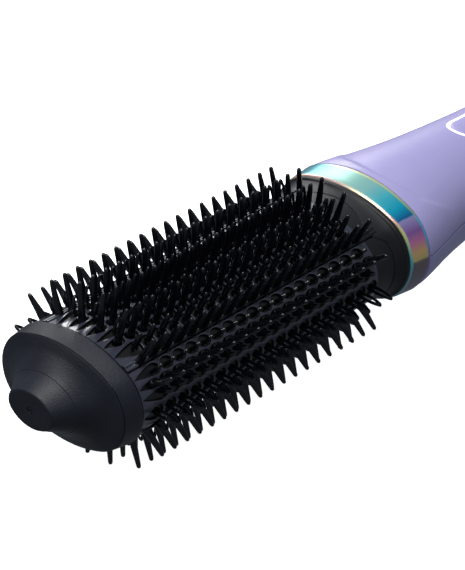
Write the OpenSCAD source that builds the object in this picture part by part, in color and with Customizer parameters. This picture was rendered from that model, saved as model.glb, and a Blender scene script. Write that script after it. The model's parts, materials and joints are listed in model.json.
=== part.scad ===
// Hot air brush with an oval bristle barrel and a rounded handle.
// X runs along the axis from the tip cap to the cord gland, Y is across, Z is up.
// The origin is the centre of the flat end of the tip cap.

/* [Barrel] */
// Half width of the barrel's outer surface
barrel_a = 28.4; // [27.8:0.1:28.8]
// Half height of the barrel's outer surface
barrel_b = 18.6; // [18.2:0.1:19]
// Radius of the barrel's narrow sides
barrel_r = 15.6; // [15:0.1:16]
// Front end of the bristle panels
panel_x0 = 24.6; // [24.5:0.1:25]
// Rear end of the bristle panels
panel_x1 = 160.1; // [158:0.1:160.2]
// Thickness of the bristle panels
panel_t = 1.3; // [1.2:0.05:1.4]
// Wall of the perforated core under the panels
core_t = 1.4; // [1:0.1:1.8]

/* [Bristles] */
// Distance between the spikes in a row
pitch = 6.39; // [6.3:0.01:6.4]
// Spikes in a row
spike_count = 19; // [15:1:19]
// First spike from the origin
spike_x0 = 31.75; // [30:0.05:33]
// Radius of a spike at its foot
spike_r1 = 1.3; // [1.1:0.05:1.4]
// Radius of a spike at its tip
spike_r2 = 0.75; // [0.6:0.05:0.9]
// Width of a strip that carries one row of spikes
strip_w = 2.8; // [2.6:0.1:3]
// Width of a short blade, along the barrel
blade_w = 3.2; // [2.6:0.1:3.6]
// Thickness of a short looped blade
blade_t = 1.1; // [1:0.1:1.4]
// Width of the loop that a short blade is made of
blade_wire = 0.7; // [0.6:0.05:0.9]
// Height of the top and bottom blades as part of the spikes' there
top_blade_ratio = 0.7; // [0.6:0.02:0.8]
// Height of the side blades as part of the spikes' there
side_blade_ratio = 0.4; // [0.3:0.02:0.5]
// Part of a blade's height below its widest place
arch_foot = 0.35; // [0.3:0.01:0.4]
// Diameter of an air vent
vent_d = 2; // [1.5:0.1:2.2]

/* [Tip cap and trim ring] */
// Parting edge of the tip cap
cap_rim_x = 15.6; // [15:0.1:16]
// Rear edge of the tip cap
cap_rear_x = 23.9; // [23.5:0.1:24]
// Front edge of the trim ring
ring_x0 = 165.65; // [165.6:0.05:166]
// Rear edge of the trim ring
ring_x1 = 176.1; // [175:0.1:176.2]

/* [Handle] */
// Rear end of the handle shells
handle_x1 = 358; // [356:1:360]
// Wall of the handle shells
wall = 2.2; // [1.8:0.1:2.4]
// Angle of the shells' parting line above the middle
seam_angle = 8; // [6:1:10]

/* [Controls] */
// Middle of the power button
power_x = 242; // [240:1:244]
// Length of the power button's hole in the handle
pill_l = 28; // [26:1:30]
// Width of the power button's hole in the handle
pill_w = 14.2; // [13:0.2:15]
// Middle of the mode button
mode_x = 269; // [267:1:271]
// Radius of the mode button
mode_r = 4.6; // [4:0.1:5]

/* [Fan and cord gland] */
// Front end of the motor
motor_x0 = 306; // [304:1:308]
// Length of the motor
motor_l = 30; // [28:1:30]
// Outer radius of the motor
motor_r = 14; // [13:0.5:14]
// Radius of the motor's shaft
shaft_r = 1; // [0.8:0.1:1.2]
// Radius of the impeller
fan_r = 16.5; // [15:0.5:16.5]
// Rear end of the filter cover
cover_x1 = 382; // [380:1:384]
// Rear end of the cord gland
gland_x1 = 398; // [396:1:400]
// Radius of the cord's hole in the gland
cord_r = 3.6; // [3:0.1:4]

/* [Hidden] */
$fn = 48;
// Running clearance round the shaft and the swivel
running = 0.05;
// Gap between pieces that are assembled together
gap = 0.1;
// Gap round a button
button_gap = 0.35;
// Section data: x, half width, half height, side radius as a part of the half height
BARREL_K = barrel_r / barrel_b;
core_a = barrel_a - panel_t - gap * 2;
core_b = barrel_b - panel_t - gap * 2;
core_r = barrel_r - panel_t - gap * 2;
core_x0 = 19.5;
core_x1 = 182;
bore_k = (core_r + gap * 2) / (core_b + gap * 2);
// Normal angle and spike length of the rows in one quarter, from the top row to the side row
ROW_ANGLE = [90, 79.5, 66, 38.5, 0];
ROW_LENGTH = [14.3, 14.2, 12.7, 9.9, 9.6];
// Every row as normal angle and spike length, counted round from the top row
ROWS = concat(
    [for (i = [0:4]) [ROW_ANGLE[i], ROW_LENGTH[i]]],
    [for (i = [3:-1:0]) [-ROW_ANGLE[i], ROW_LENGTH[i]]],
    [for (i = [1:4]) [-180 + ROW_ANGLE[i], ROW_LENGTH[i]]],
    [for (i = [3:-1:1]) [180 - ROW_ANGLE[i], ROW_LENGTH[i]]]);
// Blade rows of the top panel and of a side panel, as offsets from the panel's middle
TOP_BLADES = [-17, -5.8, 5.8, 17];
SIDE_BLADES = [-52, -25, 25, 52];
// Middle normals of the panels
PANEL_MIDDLE = [90, 180, 270, 0];
handle_step = 6;
arc_step = 0.02;
rail_h = 0.5;
end_band = 2;
arc_lap = 0.5;
// Handle sections
HANDLE = [
    [ring_x1 + 0.3, 32.1, 22.1, 0.885], [180, 31.7, 22.35, 0.89], [187, 30.3, 22.5, 0.9],
    [195, 28.4, 22.5, 0.92], [205, 26.4, 22.3, 0.94], [217, 24.6, 21.9, 0.955],
    [231, 23.1, 21.5, 0.965], [250, 21.8, 21, 0.975], [275, 20.9, 20.6, 0.98],
    [305, 20.5, 20.4, 0.985], [335, 20.2, 20.2, 0.985], [350, 19.9, 19.9, 0.985],
    [handle_x1, 19.4, 19.4, 0.985]];
motor_x1 = motor_x0 + motor_l;
board_z = 11.6;
board_t = 1.6;
switch_h = 3;
plunger_h = 0.8;
travel = 0.8;
stem_z = board_z + board_t + switch_h + plunger_h + travel + 0.1;

// ---- Ovals of four arcs ----

// Radius of the flat arcs that run into the side radius r
function flat_radius(a, b, r) = ((a - r) * (a - r) + b * b - r * r) / (2 * (b - r));
// Normal angle at which the side arc meets the flat arc
function meet_angle(a, b, r) = atan2(flat_radius(a, b, r) - b, a - r);
// Point of an oval whose outward normal is at the angle t
function oval_point(a, b, r, t) =
    abs(sin(t)) >= sin(meet_angle(a, b, r))
    ? [flat_radius(a, b, r) * cos(t),
       sign(sin(t)) * (b - flat_radius(a, b, r)) + flat_radius(a, b, r) * sin(t)]
    : [sign(cos(t)) * (a - r) + r * cos(t), r * sin(t)];
// Points of one section at the angles in the list
function section(s, angles, inset = 0) =
    [for (t = angles)
        let (p = oval_point(s[1] - inset, s[2] - inset, s[3] * (s[2] - inset), t)) [s[0], p[0], p[1]]];

// Oval outline with true arcs; the side arcs stand a hair inside the flat ones,
// so that the outline has a short real edge where they meet
module oval(a, b, r) {
    big = flat_radius(a, b, r);
    meet_y = a - r + r * cos(meet_angle(a, b, r));
    intersection() {
        translate([0, b - big]) circle(big, $fn = 180);
        translate([0, big - b]) circle(big, $fn = 180);
        square([2 * meet_y, 3 * b], center = true);
    }
    for (side = [-1, 1]) intersection() {
        translate([side * (a - r), 0]) circle(r - arc_step, $fn = 90);
        translate([side * (meet_y + b - arc_lap), 0]) square([2 * b, 3 * b], center = true);
    }
}

// Stretch an outline drawn as y, z along X
module along_x(x0, x1) {
    translate([x0, 0, 0]) rotate([90, 0, 90]) linear_extrude(x1 - x0) children();
}

// Put a child's Z axis on the barrel's normal t, with its origin on the surface at x
module on_barrel(x, t) {
    p = oval_point(barrel_a, barrel_b, barrel_r, t);
    translate([x, p[0], p[1]]) rotate([t - 90, 0, 0]) children();
}

// Solid that runs through the sections in turn; a ring joins its last section to its first
module loft(sections, ring = false, step = 5) {
    angles = [0:step:360 - step];
    n = len([for (t = angles) t]);
    m = len(sections);
    last = ring ? m - 1 : m - 2;
    points = [for (s = sections) each section(s, angles)];
    sides = [for (i = [0:last]) for (j = [0:n - 1])
        let (k = (i + 1) % m, l = (j + 1) % n)
        each [[i * n + j, k * n + j, k * n + l], [i * n + j, k * n + l, i * n + l]]];
    ends = ring ? [] : [[for (j = [0:n - 1]) j], [for (j = [n - 1:-1:0]) (m - 1) * n + j]];
    polyhedron(points, concat(sides, ends));
}

// Part of the handle's shell between two normal angles
module shell_part(t0, t1) {
    count = ceil((t1 - t0) / handle_step);
    angles = [for (i = [0:count]) t0 + (t1 - t0) * i / count];
    back = [for (i = [count:-1:0]) angles[i]];
    n = 2 * (count + 1);
    m = len(HANDLE);
    points = [for (s = HANDLE) each concat(section(s, angles), section(s, back, wall))];
    sides = [for (i = [0:m - 2]) for (j = [0:n - 1])
        let (l = (j + 1) % n)
        each [[i * n + j, (i + 1) * n + j, (i + 1) * n + l], [i * n + j, (i + 1) * n + l, i * n + l]]];
    b = (m - 1) * n;
    ends = [for (j = [0:count - 1]) each [
        [j, j + 1, n - 2 - j], [j, n - 2 - j, n - 1 - j],
        [b + j + 1, b + j, b + n - 1 - j], [b + j + 1, b + n - 1 - j, b + n - 2 - j]]];
    polyhedron(points, concat(sides, ends));
}

// Outer form of the handle, grown by a distance
module handle_form(grow) {
    loft([for (s = HANDLE) [s[0], s[1] + grow, s[2] + grow, s[3]]]);
}

// ---- Tip ----

module tip_cap() {
    color("#3a3c44") {
        loft([
            [0, 9.6, 6.4, 0.74], [0.4, 10.1, 6.9, 0.74], [4, 12.3, 8.6, 0.76],
            [7.6, 14.7, 10.4, 0.78], [9.4, 16.2, 11.4, 0.79], [11.6, 18.8, 13, 0.8],
            [13.6, 22.2, 15, 0.82], [14.9, 25.6, 16.8, 0.83], [cap_rim_x, 28, 18.1, 0.84],
            [cap_rear_x, 29.1, 19.3, 0.845], [cap_rear_x, core_a + 0.2, core_b + 0.2, bore_k],
            [core_x0 - 0.5, core_a + 0.2, core_b + 0.2, bore_k], [17, 25, 16, 0.82],
            [14.5, 18.5, 12.6, 0.8], [10.5, 12.6, 8.8, 0.78], [3.5, 8.6, 5.6, 0.74]]);
        translate([3, 0, 0]) rotate([0, 90, 0]) difference() {
            cylinder(h = 16.8, r = 3.4);
            translate([0, 0, 6]) cylinder(h = 12, r = 1.25);
        }
    }
}

module cap_screw() {
    color("silver") rotate([0, 90, 0]) {
        translate([0, 0, 11]) cylinder(h = 12.1, r = 1.2);
        difference() {
            translate([0, 0, 23.1]) cylinder(h = 1.8, r = 2.6);
            translate([-0.4, -1.8, 24.2]) cube([0.8, 3.6, 1]);
            translate([-1.8, -0.4, 24.2]) cube([3.6, 0.8, 1]);
        }
    }
}

module cap_seal() {
    color("#101012") along_x(cap_rear_x + gap, panel_x0 - gap) difference() {
        oval(barrel_a - 0.4, barrel_b - 0.4, barrel_r - 0.4);
        oval(core_a + gap, core_b + gap, core_r + gap);
    }
}

module front_bulkhead() {
    color("#26262a") difference() {
        along_x(20, 23) oval(core_a - core_t - gap, core_b - core_t - gap, core_r - core_t - gap);
        translate([19, 0, 0]) rotate([0, 90, 0]) cylinder(h = 5, r = 1.4);
    }
}

// ---- Barrel ----

// Vent rows are the blade rows of all four panels
function blade_angles(panel) =
    [for (d = panel % 2 == 0 ? TOP_BLADES : SIDE_BLADES) PANEL_MIDDLE[panel] + d];

module barrel_core() {
    color("#8e9096") difference() {
        along_x(core_x0, core_x1) difference() {
            oval(core_a, core_b, core_r);
            oval(core_a - core_t, core_b - core_t, core_r - core_t);
        }
        for (panel = [0:3]) for (t = blade_angles(panel)) for (i = [0:2])
            on_barrel(32 + i * 42, t) translate([0, -1.4, -5]) cube([36, 2.8, 6]);
    }
}

// Pointed arch of a blade, or of its opening when inset by the wire width
module arch(height, inset) {
    rise = (1 - arch_foot) * height;
    r = (rise * rise + blade_w * blade_w / 4) / blade_w;
    intersection() {
        translate([-blade_w / 2, inset]) square([blade_w, height]);
        translate([r - blade_w / 2, height * arch_foot]) circle(r - inset);
        translate([blade_w / 2 - r, height * arch_foot]) circle(r - inset);
    }
}

// Looped blade standing on the barrel, its foot sunk into the panel
module blade(height) {
    sunk = 0.8;
    translate([0, blade_t / 2, -sunk]) rotate([90, 0, 0]) linear_extrude(blade_t) difference() {
        arch(height + sunk, 0);
        translate([0, sunk]) arch(height, blade_wire);
    }
}

// The corner strips run the whole barrel; the others stop short, so each panel stays in one piece
function is_corner(t) = abs(abs(sin(t)) - sin(ROW_ANGLE[2])) < 0.01;
function strip_x0(t) = panel_x0 + (is_corner(t) ? 0 : end_band);
function strip_length(t) = panel_x1 - panel_x0 - (is_corner(t) ? 0 : 2 * end_band);

// Length of the spikes at any normal angle, between the rows
function length_at(t) = 9.6 + 4.7 * pow(abs(sin(t)), 1.3);

// Panel between two corner rows; half is the angle from its middle to a corner row
module bristle_panel(panel, half) {
    middle = PANEL_MIDDLE[panel];
    reach = 3 * barrel_a;
    ratio = panel % 2 == 0 ? top_blade_ratio : side_blade_ratio;
    color("#3b3e4a") difference() {
        union() {
            along_x(panel_x0, panel_x1) intersection() {
                difference() {
                    oval(barrel_a, barrel_b, barrel_r);
                    oval(barrel_a - panel_t, barrel_b - panel_t, barrel_r - panel_t);
                }
                p = oval_point(barrel_a, barrel_b, barrel_r, middle + half);
                q = oval_point(barrel_a, barrel_b, barrel_r, middle - half);
                u = [cos(middle + half), sin(middle + half)];
                v = [cos(middle - half), sin(middle - half)];
                polygon([p - 6 * u, p + reach * u, q + reach * v, q - 6 * v]);
            }
            for (t = blade_angles(panel)) for (i = [0:spike_count - 2])
                on_barrel(spike_x0 + pitch * (i + 0.5), t) blade(ratio * length_at(t));
        }
        for (row = ROWS) on_barrel(strip_x0(row[0]) - gap, row[0])
            translate([0, -strip_w / 2 - gap, -2.5])
                cube([strip_length(row[0]) + 2 * gap, strip_w + 2 * gap, 3.4]);
        for (t = blade_angles(panel)) for (i = [0:spike_count - 1])
            on_barrel(spike_x0 + pitch * i, t) translate([0, 0, -3]) cylinder(h = 4, d = vent_d);
    }
}

module bristle_panel_top() bristle_panel(0, 90 - ROW_ANGLE[2]);
module bristle_panel_left() bristle_panel(1, ROW_ANGLE[2]);
module bristle_panel_bottom() bristle_panel(2, 90 - ROW_ANGLE[2]);
module bristle_panel_right() bristle_panel(3, ROW_ANGLE[2]);

module spike(length) {
    translate([0, 0, -0.5]) cylinder(h = length - spike_r2 + 0.5, r1 = spike_r1, r2 = spike_r2);
    translate([0, 0, length - spike_r2]) sphere(spike_r2);
}

// Strip with one row of spikes, or of long blades in the middle of a side;
// the corner strips stand a little proud as a rail
module spike_strip(number) {
    row = ROWS[number - 1];
    proud = is_corner(row[0]) ? rail_h : 0;
    color("#141418") {
        on_barrel(strip_x0(row[0]), row[0]) translate([0, -strip_w / 2, gap - panel_t])
            cube([strip_length(row[0]), strip_w, panel_t - gap + proud]);
        for (i = [0:spike_count - 1]) on_barrel(spike_x0 + pitch * i, row[0])
            if (abs(sin(row[0])) < 0.01) blade(row[1]);
            else spike(row[1]);
    }
}

// ---- Heater ----

module heater_frame() {
    color("#d8c9a0") for (turn = [0, 90]) rotate([turn, 0, 0])
        translate([64, -10.8, -0.4]) cube([106, 21.6, 0.8]);
}

module heater_coil() {
    color("#b9bcc0") for (i = [0:13]) translate([84 + i * 5, 0, 0]) rotate([0, 90, 0])
        rotate_extrude() translate([11.4, 0]) circle(0.45);
}

module mica_sleeve() {
    color("#c9b88a") along_x(60, 167) difference() {
        circle(13.8);
        circle(13.2);
    }
}

module heater_holder() {
    color("#e3ddd0") along_x(167, 173) difference() {
        oval(core_a - core_t - gap, core_b - core_t - gap, core_r - core_t - gap);
        circle(11.5);
    }
}

module thermostat() {
    color("#2b2b2b") translate([66, 1, 1]) cube([9, 5, 4]);
}

module thermal_fuse() {
    color("#e8e2d4") translate([66, -4, -4]) rotate([0, 90, 0]) cylinder(h = 11, r = 1.8);
}

module temperature_sensor() {
    color("#7a4a2a") translate([74, -4, 4]) rotate([0, 90, 0]) {
        sphere(1.3);
        cylinder(h = 14, r = 0.5);
    }
}

// ---- Collar, ring and neck ----

module collar_flange() {
    color("#1b1b1f") loft([
        [160.3, 28.2, 18.4, 0.84], [161.6, 28.9, 18.9, 0.85], [163.4, 30.2, 19.6, 0.87],
        [164.3, 30.9, 20, 0.88], [165.1, 31.2, 20.3, 0.885], [165.5, 31.2, 20.3, 0.885],
        [165.5, core_a + 0.2, core_b + 0.2, bore_k], [160.3, core_a + 0.2, core_b + 0.2, bore_k]],
        ring = true);
}

module trim_ring() {
    color("#8fd0d8") loft([
        [ring_x0, 31, 20.1, 0.885], [ring_x0 + 0.5, 31.5, 20.6, 0.885],
        [(ring_x0 + ring_x1) / 2, 31.9, 21.4, 0.885], [ring_x1 - 0.4, 32.35, 22.2, 0.885],
        [ring_x1, 32.1, 21.95, 0.885], [ring_x1, core_a + 0.2, core_b + 0.2, bore_k],
        [ring_x0, core_a + 0.2, core_b + 0.2, bore_k]], ring = true);
}

module neck_mount() {
    color("#2a2a30") difference() {
        along_x(177, 188) difference() {
            oval(27.4, 19, 17);
            oval(core_a + gap, core_b + gap, core_r + gap);
        }
        for (side = [-1, 1]) translate([182, side * 17, 0]) cube([4, 3, 8], center = true);
    }
}

// ---- Handle ----

// Places of the two screws that join the shells
SCREW_X = 206;
SCREW_Y = 14;

module pill(length, width) {
    for (end = [-1, 1]) translate([end * (length - width) / 2, 0]) circle(d = width);
    square([length - width, width], center = true);
}

module handle_top() {
    color("#b3aad8") difference() {
        union() {
            shell_part(seam_angle + 0.2, 180 - seam_angle - 0.2);
            for (side = [-1, 1]) translate([SCREW_X, side * SCREW_Y, 1]) cylinder(h = 15.6, r = 3);
        }
        translate([power_x, 0, 10]) linear_extrude(20) pill(pill_l, pill_w);
        translate([mode_x, 0, 10]) cylinder(h = 20, r = mode_r + button_gap);
        for (side = [-1, 1]) translate([SCREW_X, side * SCREW_Y, 0]) cylinder(h = 12, r = 1.25);
    }
}

module handle_bottom() {
    color("#b3aad8") difference() {
        union() {
            shell_part(180 - seam_angle + 0.2, 360 + seam_angle - 0.2);
            for (side = [-1, 1]) translate([SCREW_X, side * SCREW_Y, -15.6]) cylinder(h = 16.5, r = 4);
        }
        for (side = [-1, 1]) translate([SCREW_X, side * SCREW_Y, -30]) {
            cylinder(h = 40, r = 1.4);
            cylinder(h = 17, r = 2.9);
        }
    }
}

module case_screws() {
    color("silver") for (side = [-1, 1]) translate([SCREW_X, side * SCREW_Y, 0]) {
        translate([0, 0, -13]) cylinder(h = 22, r = 1.15);
        difference() {
            translate([0, 0, -14.8]) cylinder(h = 1.8, r = 2.6);
            translate([-1.8, -0.4, -15.2]) cube([3.6, 0.8, 1]);
        }
    }
}

module air_duct() {
    color("#3c3f44") {
        translate([0, 0, -4]) along_x(192, 294) difference() {
            circle(9.4);
            circle(8.6);
        }
        translate([0, 0, -4]) along_x(189, 192) difference() {
            circle(12.8);
            circle(8.6);
        }
    }
}

// ---- Controls ----

module light_ring() {
    color("white") intersection() {
        translate([power_x, 0, 17.8]) linear_extrude(8) difference() {
            pill(pill_l - 2 * gap, pill_w - 2 * gap);
            pill(pill_l - 3, pill_w - 3);
        }
        handle_form(0);
    }
}

module power_button() {
    color("#b3aad8") {
        intersection() {
            translate([power_x, 0, 18.6]) linear_extrude(8)
                pill(pill_l - 3 - 2 * button_gap, pill_w - 3 - 2 * button_gap);
            handle_form(0.3);
        }
        translate([power_x, 0, stem_z]) cylinder(h = 19 - stem_z, r = 2);
    }
}

module mode_button() {
    color("#b3aad8") {
        intersection() {
            translate([mode_x, 0, 18.5]) cylinder(h = 8, r = mode_r);
            handle_form(0.4);
        }
        translate([mode_x, 0, stem_z]) cylinder(h = 18.9 - stem_z, r = 1.8);
    }
}

module control_board() {
    color("#1f6b46") translate([222, -9, board_z]) cube([62, 18, board_t]);
}

module tact_switches() {
    color("#2d2d30") for (x = [power_x, mode_x]) translate([x, 0, board_z + board_t]) {
        translate([-3, -3, 0]) cube([6, 6, switch_h]);
        translate([0, 0, switch_h - 0.1]) cylinder(h = plunger_h + 0.1, r = 1.6);
    }
}

module indicator_leds() {
    color("#f4f4e8") for (x = [-10, 10]) for (y = [-6.2, 6.2])
        translate([power_x + x - 1, y - 0.8, board_z + board_t]) cube([2, 1.6, 1.2]);
}

module power_board() {
    color("#1f6b46") along_x(297, 298.6) difference() {
        circle(16.5);
        circle(7);
    }
}

module board_capacitor() {
    color("#20304a") translate([287.2, 0, 10.6]) rotate([0, 90, 0]) cylinder(h = 9.8, r = 3.6);
}

// ---- Motor and fan ----

module motor_mount() {
    color("#2c2c2e") along_x(motor_x0 + 4, motor_x0 + 24) {
        difference() {
            circle(motor_r + 1.3);
            circle(motor_r + gap);
        }
        for (turn = [90, 210, 330]) rotate(turn) translate([motor_r + 1, -1.2]) square([2.7, 2.4]);
    }
}

module motor_can() {
    color("#a9adb3") translate([motor_x0, 0, 0]) rotate([0, 90, 0]) difference() {
        cylinder(h = motor_l, r = motor_r);
        translate([0, 0, 1.5]) cylinder(h = motor_l - 3, r = motor_r - 1);
        translate([0, 0, -1]) cylinder(h = motor_l + 2, r = shaft_r + running);
    }
}

module motor_stator() {
    color("#b8733a") along_x(motor_x0 + 4, motor_x1 - 4) difference() {
        circle(motor_r - 1.1);
        circle(9.5);
        for (turn = [0:60:300]) rotate(turn) translate([9, -1]) square([3, 2]);
    }
}

module motor_rotor() {
    color("#5b5e63") along_x(motor_x0 + 5, motor_x1 - 5) difference() {
        circle(9);
        circle(shaft_r + 0.02);
    }
}

module motor_shaft() {
    color("#c9ccd0") translate([motor_x0 - 2, 0, 0]) rotate([0, 90, 0]) cylinder(h = motor_l + 17, r = shaft_r);
}

module impeller() {
    color("#e9e9ea") {
        along_x(motor_x1 + 3, motor_x1 + 14) difference() {
            circle(6.5);
            circle(shaft_r + 0.02);
        }
        for (turn = [0:40:320]) rotate([turn, 0, 0])
            translate([motor_x1 + 8.5, 0, 6]) rotate([0, 0, 35])
                translate([-0.6, -5, 0]) cube([1.2, 10, fan_r - 7]);
    }
}

module fan_shroud() {
    color("#3c3f44") {
        along_x(motor_x1 + 1.5, motor_x1 + 15.5) difference() {
            circle(fan_r + 1);
            circle(fan_r + 0.4);
        }
    }
}

// ---- Rear end ----

module intake_grille() {
    color("#2a2a2e") difference() {
        union() {
            along_x(handle_x1 + 0.2, 379) difference() {
                circle(16.6);
                circle(15.2);
            }
            along_x(377.5, 379) difference() {
                circle(16.6);
                circle(8.8);
            }
            along_x(353.2, handle_x1 + 0.2) difference() {
                circle(17.1);
                circle(15.2);
            }
            along_x(handle_x1 + 0.2, handle_x1 + 1.6) difference() {
                circle(18.9);
                circle(15.2);
            }
        }
        for (turn = [0:30:150]) for (x = [363, 369]) rotate([turn, 0, 0])
            translate([x, -1.5, -20]) cube([3.4, 3, 40]);
    }
}

module filter_mesh() {
    color("#9a9ca2") along_x(361, 378.5) difference() {
        circle(17.3);
        circle(16.95);
    }
}

module filter_cover() {
    color("#b3aad8") difference() {
        union() {
            along_x(handle_x1 + 2, cover_x1) difference() {
                circle(19.2);
                circle(17.4);
            }
            along_x(cover_x1 - 1.8, cover_x1) difference() {
                circle(19.2);
                circle(10);
            }
        }
        for (turn = [0:15:165]) for (x = [364, 369.5, 375]) rotate([turn, 0, 0])
            translate([x, -0.9, -22]) cube([3.2, 1.8, 44]);
    }
}

module swivel_socket() {
    color("#232326") translate([368, 0, 0]) rotate([0, 90, 0]) difference() {
        cylinder(h = 11, r = 8.6);
        translate([0, 0, 2]) cylinder(h = 6, r = 7.4 + running);
        translate([0, 0, 6]) cylinder(h = 8, r = 6 + running);
    }
}

module swivel_gland() {
    color("#1d1d20") translate([370, 0, 0]) rotate([0, 90, 0]) difference() {
        union() {
            translate([0, 0, 0.1]) cylinder(h = 5.8, r = 7.4);
            translate([0, 0, 5]) cylinder(h = gland_x1 - 376, r = 6);
            translate([0, 0, gland_x1 - 371.2]) cylinder(h = 1.2, r1 = 6, r2 = 5);
        }
        translate([0, 0, gland_x1 - 390]) cylinder(h = 30, r = cord_r);
    }
}

tip_cap();
cap_screw();
cap_seal();
front_bulkhead();
barrel_core();
bristle_panel_top();
bristle_panel_left();
bristle_panel_bottom();
bristle_panel_right();
spike_strip(1);  // spike_strip_01
spike_strip(2);  // spike_strip_02
spike_strip(3);  // spike_strip_03
spike_strip(4);  // spike_strip_04
spike_strip(5);  // spike_strip_05
spike_strip(6);  // spike_strip_06
spike_strip(7);  // spike_strip_07
spike_strip(8);  // spike_strip_08
spike_strip(9);  // spike_strip_09
spike_strip(10);  // spike_strip_10
spike_strip(11);  // spike_strip_11
spike_strip(12);  // spike_strip_12
spike_strip(13);  // spike_strip_13
spike_strip(14);  // spike_strip_14
spike_strip(15);  // spike_strip_15
spike_strip(16);  // spike_strip_16
heater_frame();
heater_coil();
mica_sleeve();
heater_holder();
thermostat();
thermal_fuse();
temperature_sensor();
collar_flange();
trim_ring();
neck_mount();
handle_top();
handle_bottom();
case_screws();
air_duct();
light_ring();
power_button();
mode_button();
control_board();
tact_switches();
indicator_leds();
power_board();
board_capacitor();
motor_mount();
motor_can();
motor_stator();
motor_rotor();
motor_shaft();
impeller();
fan_shroud();
intake_grille();
filter_mesh();
filter_cover();
swivel_socket();
swivel_gland();
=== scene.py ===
import json
import math

import bmesh
import bpy
from mathutils import Matrix, Vector


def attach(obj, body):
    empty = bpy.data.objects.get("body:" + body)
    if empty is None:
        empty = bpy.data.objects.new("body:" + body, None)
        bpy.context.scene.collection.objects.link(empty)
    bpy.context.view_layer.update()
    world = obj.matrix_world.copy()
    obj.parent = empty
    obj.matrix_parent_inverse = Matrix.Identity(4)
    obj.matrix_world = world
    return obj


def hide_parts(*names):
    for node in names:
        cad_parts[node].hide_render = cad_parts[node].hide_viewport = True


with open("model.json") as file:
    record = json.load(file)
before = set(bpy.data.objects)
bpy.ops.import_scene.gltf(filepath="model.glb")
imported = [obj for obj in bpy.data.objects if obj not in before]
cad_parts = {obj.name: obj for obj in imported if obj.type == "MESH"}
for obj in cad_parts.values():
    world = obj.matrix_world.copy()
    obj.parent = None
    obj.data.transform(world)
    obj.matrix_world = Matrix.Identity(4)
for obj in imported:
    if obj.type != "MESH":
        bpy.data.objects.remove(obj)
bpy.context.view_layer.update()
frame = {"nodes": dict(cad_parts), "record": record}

MM = 0.001
MERGE = 0.0005  # points closer than this many millimetres become one
LEVEL = 1e-6    # an oval whose depth passes its corner radius by less is a stadium

# ---- Sizes in millimetres, as in the CAD ----

BARREL = (28.4, 18.6, 15.6)
PANEL_X0, PANEL_X1 = 24.6, 160.1
PITCH, SPIKES, SPIKE_X0 = 6.39, 19, 31.75
CORNER = 66
ROW_ANGLE = (90, 79.5, CORNER, 38.5, 0)
ROW_LENGTH = (14.3, 14.2, 12.7, 9.9, 9.6)
TOP_BLADES = (-17, -5.8, 5.8, 17)
SIDE_BLADES = (-52, -25, 25, 52)
TOP_BLADE_RATIO, SIDE_BLADE_RATIO = 0.7, 0.4
RING_X0, RING_X1 = 165.65, 176.1
SEAM = 8
HANDLE_X0, HANDLE_X1 = 176.4, 358
WALL = 2.2
HANDLE = [
    (HANDLE_X0, 32.1, 22.1, 0.885), (180, 31.7, 22.35, 0.89), (187, 30.3, 22.5, 0.9),
    (195, 28.4, 22.5, 0.92), (205, 26.4, 22.3, 0.94), (217, 24.6, 21.9, 0.955),
    (231, 23.1, 21.5, 0.965), (250, 21.8, 21, 0.975), (275, 20.9, 20.6, 0.98),
    (305, 20.5, 20.4, 0.985), (335, 20.2, 20.2, 0.985), (350, 19.9, 19.9, 0.985),
    (HANDLE_X1, 19.4, 19.4, 0.985)]
POWER_X, PILL_L, PILL_W = 242, 28, 14.2
MODE_X, MODE_R = 269, 4.6
STEM_Z = 17.9


def rows_round():
    """Normal angle and spike length of the 16 spike rows, counted round from the top row."""
    quarter = list(zip(ROW_ANGLE, ROW_LENGTH))
    rows = quarter[:]
    rows += [(-t, n) for t, n in quarter[3::-1]]
    rows += [(t - 180, n) for t, n in quarter[1:]]
    rows += [(180 - t, n) for t, n in quarter[3:0:-1]]
    return rows


ROWS = rows_round()


# ---- Ovals of four arcs ----

def oval_point(oval, t, grow=0.0):
    """y and z of the oval's point whose outward normal is at t degrees."""
    a, b, r = (v + grow for v in oval)
    big = ((a - r) ** 2 + b * b - r * r) / (2 * (b - r)) if b - r > LEVEL else r
    c, s = math.cos(math.radians(t)), math.sin(math.radians(t))
    meet = math.atan2(big - b, a - r) if b - r > LEVEL else math.pi / 2
    if abs(s) >= math.sin(meet):
        return big * c, math.copysign(1, s) * (b - big) + big * s
    return math.copysign(a - r, c) + r * c, r * s


def section_point(section, t, inset=0.0):
    x, a, b, k = section
    y, z = oval_point((a - inset, b - inset, k * (b - inset)), t)
    return x, y, z


def on_barrel(x, t, height=0.0, along=0.0):
    """Point over the barrel's surface at normal angle t, moved sideways by along."""
    y, z = oval_point(BARREL, t)
    c, s = math.cos(math.radians(t)), math.sin(math.radians(t))
    return x, y + c * height - s * along, z + s * height + c * along


def smooth(v):
    v = min(max(v, 0.0), 1.0)
    return v * v * (3 - 2 * v)


def curve_point(points, i, u):
    """Point of the Catmull-Rom curve at u, from 0 to 1, between points i and i + 1."""
    last = len(points) - 1
    near = points[max(i - 1, 0)], points[i], points[i + 1], points[min(i + 2, last)]
    return tuple(
        0.5 * (2 * b + (c - a) * u + (2 * a - 5 * b + 4 * c - d) * u * u
               + (3 * b - a - 3 * c + d) * u ** 3)
        for a, b, c, d in zip(*near))


def refine(points, steps):
    """Catmull-Rom curve through the points, with that many steps in each interval."""
    out = [curve_point(points, i, k / steps) for i in range(len(points) - 1)
           for k in range(steps)]
    return out + [points[-1]]


def handle_section(x):
    """Section of the handle's outer form at x."""
    for i in range(len(HANDLE) - 1):
        low, high = HANDLE[i][0], HANDLE[i + 1][0]
        if low <= x <= high:
            return (x,) + curve_point(HANDLE, i, (x - low) / (high - low))[1:]
    return HANDLE[-1]


# ---- Mesh building ----

SHARP = 32  # degrees


def soften(mesh, angle):
    mesh.shade_smooth()
    mesh.set_sharp_from_angle(angle=math.radians(angle))


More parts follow.
